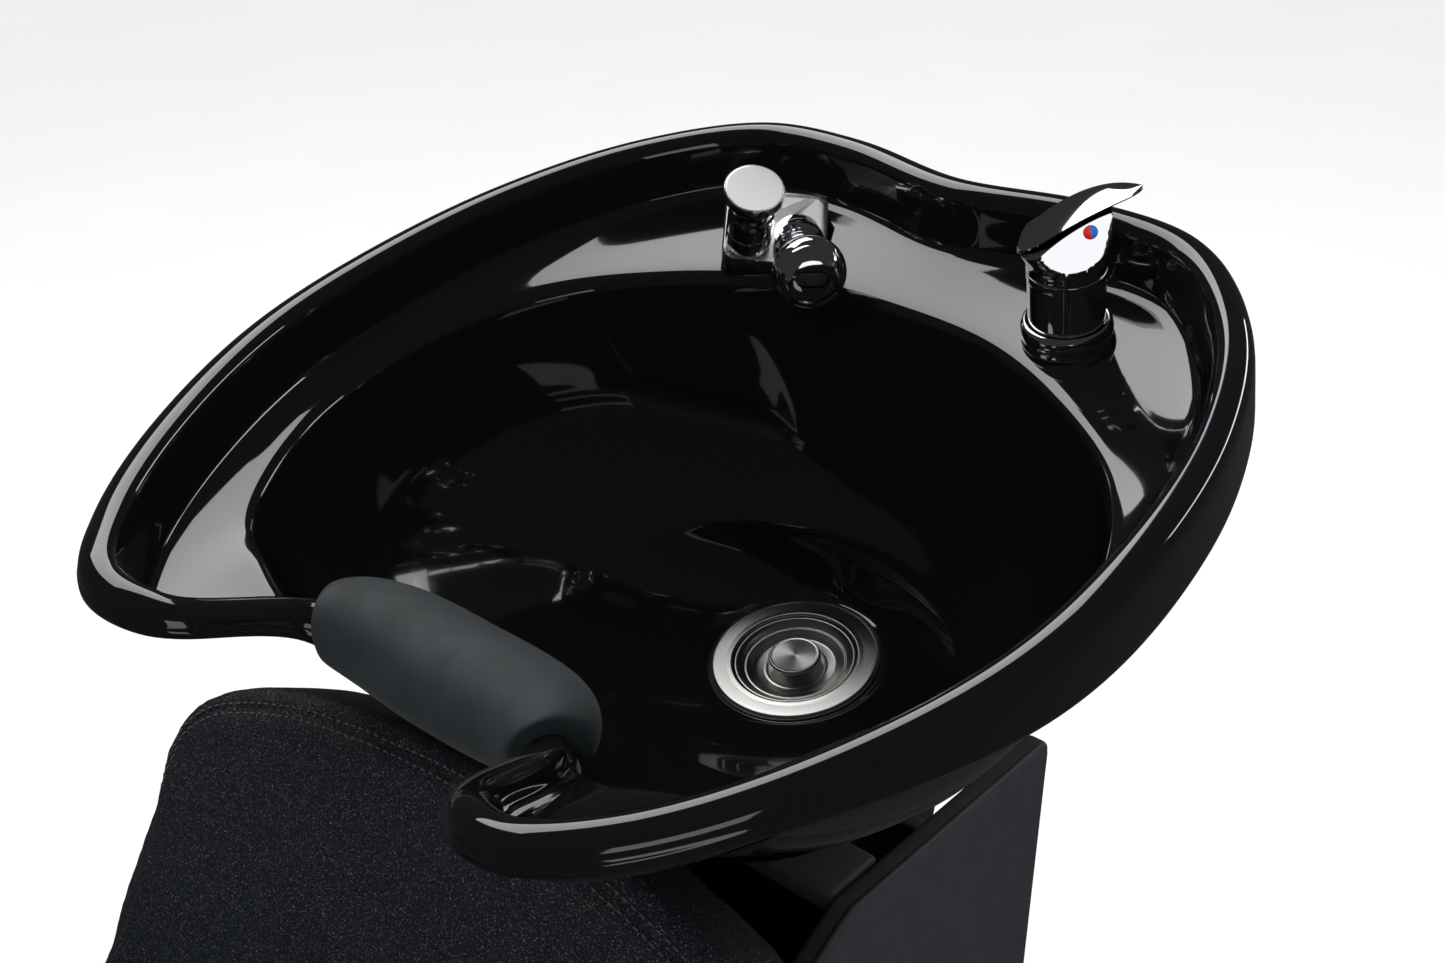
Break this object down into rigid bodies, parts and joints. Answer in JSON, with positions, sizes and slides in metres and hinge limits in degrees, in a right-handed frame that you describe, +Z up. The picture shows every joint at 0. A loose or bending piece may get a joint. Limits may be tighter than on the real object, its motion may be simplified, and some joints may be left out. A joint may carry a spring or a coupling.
{
  "type": "shampoo backwash unit",
  "caption": "Salon backwash unit: tilting glossy wash bowl with neck rest, drain, lever mixer, vacuum breaker and hand spray on a padded pedestal with a chair.",
  "frame": {"origin": "on the floor, under the middle of the unit's bounding box", "axes": "+Z up; the client sits towards -Y, facing -Y, with the neck in the bowl's recess; the mixer tap is on the +X side of the bowl's rear deck"},
  "size_m": [0.658, 1.1402, 1.0144],
  "materials": {
    "gloss_black": "polished",
    "pad_grey": "matt soft skin",
    "brushed_steel": "brushed",
    "steel_hardware": "zinc plated",
    "rubber": "matt",
    "brass": "plain",
    "chrome": "polished",
    "white_plastic": "matt",
    "indicator": "gloss",
    "black_steel": "satin black",
    "panel_vinyl": "smooth vinyl",
    "plinth_black": "matt black",
    "seat_vinyl": "grained vinyl",
    "plywood": "bare plywood"
  },
  "bodies": {
    "pedestal_and_chair": {"tilt_stand": "black_steel", "tilt_shaft": "steel_hardware", "pivot_washer_left": "white_plastic", "pivot_washer_right": "white_plastic", "shaft_nut": "steel_hardware", "pedestal_side_left": "panel_vinyl", "pedestal_side_right": "panel_vinyl", "pedestal_front": "panel_vinyl", "pedestal_plinth": "plinth_black", "pedestal_top_rail": "panel_vinyl", "service_panel": "panel_vinyl", "back_cushion": "seat_vinyl", "back_board": "plywood", "back_strap_left": "black_steel", "back_strap_right": "black_steel", "seat_cushion": "seat_vinyl", "seat_board": "plywood", "chair_frame": "black_steel", "arm_panel_left": "panel_vinyl", "arm_pad_left": "seat_vinyl", "arm_panel_right": "panel_vinyl", "arm_pad_right": "seat_vinyl", "foot_1": "rubber", "foot_2": "rubber", "foot_3": "rubber", "foot_4": "rubber"},
    "tilt_knob": {"tilt_knob": "rubber"},
    "bowl": {"mixer_base_ring": "chrome", "mixer_body": "chrome", "mixer_shank": "brass", "mixer_washer": "rubber", "mixer_locknut": "brass", "mixer_cartridge": "white_plastic", "cartridge_retainer": "brass", "fitting_base": "chrome", "fitting_shank": "brass", "fitting_washer": "rubber", "vacuum_breaker_body": "chrome", "vacuum_breaker_cap": "chrome", "spray_collar": "chrome", "bowl_shell": "gloss_black", "neck_rest": "pad_grey", "drain_flange": "brushed_steel", "drain_gasket": "rubber", "drain_locknut": "brass", "tailpiece": "chrome", "slip_nut": "chrome", "bowl_bracket": "black_steel", "bowl_bolt_1": "steel_hardware", "bowl_bolt_2": "steel_hardware"},
    "tap_turn": {"tap_head": "chrome", "tap_indicator": "indicator", "cartridge_stem": "brass"},
    "tap_lift": {"tap_lever": "chrome"},
    "strainer": {"strainer_basket": "brushed_steel", "strainer_knob": "brushed_steel", "strainer_seal": "rubber"},
    "hand_spray": {"spray_stem": "chrome", "spray_head": "chrome"},
    "spray_button": {"spray_button": "rubber"}
  },
  "joints": [
    {"name": "bowl_tilt", "type": "hinge", "parent": "pedestal_and_chair", "child": "bowl", "pos_m": [0, 0.50095, 0.775], "axis": [1, 0, 0], "range_deg": [-11, 0]},
    {"name": "tilt_knob_turn", "type": "hinge", "parent": "pedestal_and_chair", "child": "tilt_knob", "pos_m": [0.072, 0.50095, 0.775], "axis": [1, 0, 0], "range_deg": [0, 180]},
    {"name": "mixer_turn", "type": "hinge", "parent": "bowl", "child": "tap_turn", "pos_m": [0.118, 0.49119, 0.91645], "axis": [0, -0.1839, 0.9829], "range_deg": [-40, 40]},
    {"name": "mixer_lever_lift", "type": "hinge", "parent": "tap_turn", "child": "tap_lift", "pos_m": [0.09611, 0.46182, 0.96996], "axis": [0.6561, -0.7418, -0.1388], "range_deg": [0, 20]},
    {"name": "strainer_lift", "type": "slide", "parent": "bowl", "child": "strainer", "axis": [0, -0.1839, 0.9829], "range_m": [0, 0.06]},
    {"name": "hand_spray_out", "type": "slide", "parent": "bowl", "child": "hand_spray", "axis": [0.7124, -0.6994, 0.0566], "range_m": [0, 0.06]},
    {"name": "spray_button_press", "type": "slide", "parent": "hand_spray", "child": "spray_button", "axis": [-0.7124, 0.6994, -0.0566], "range_m": [0, 0.002], "stiffness_N_per_m": 600}
  ]
}
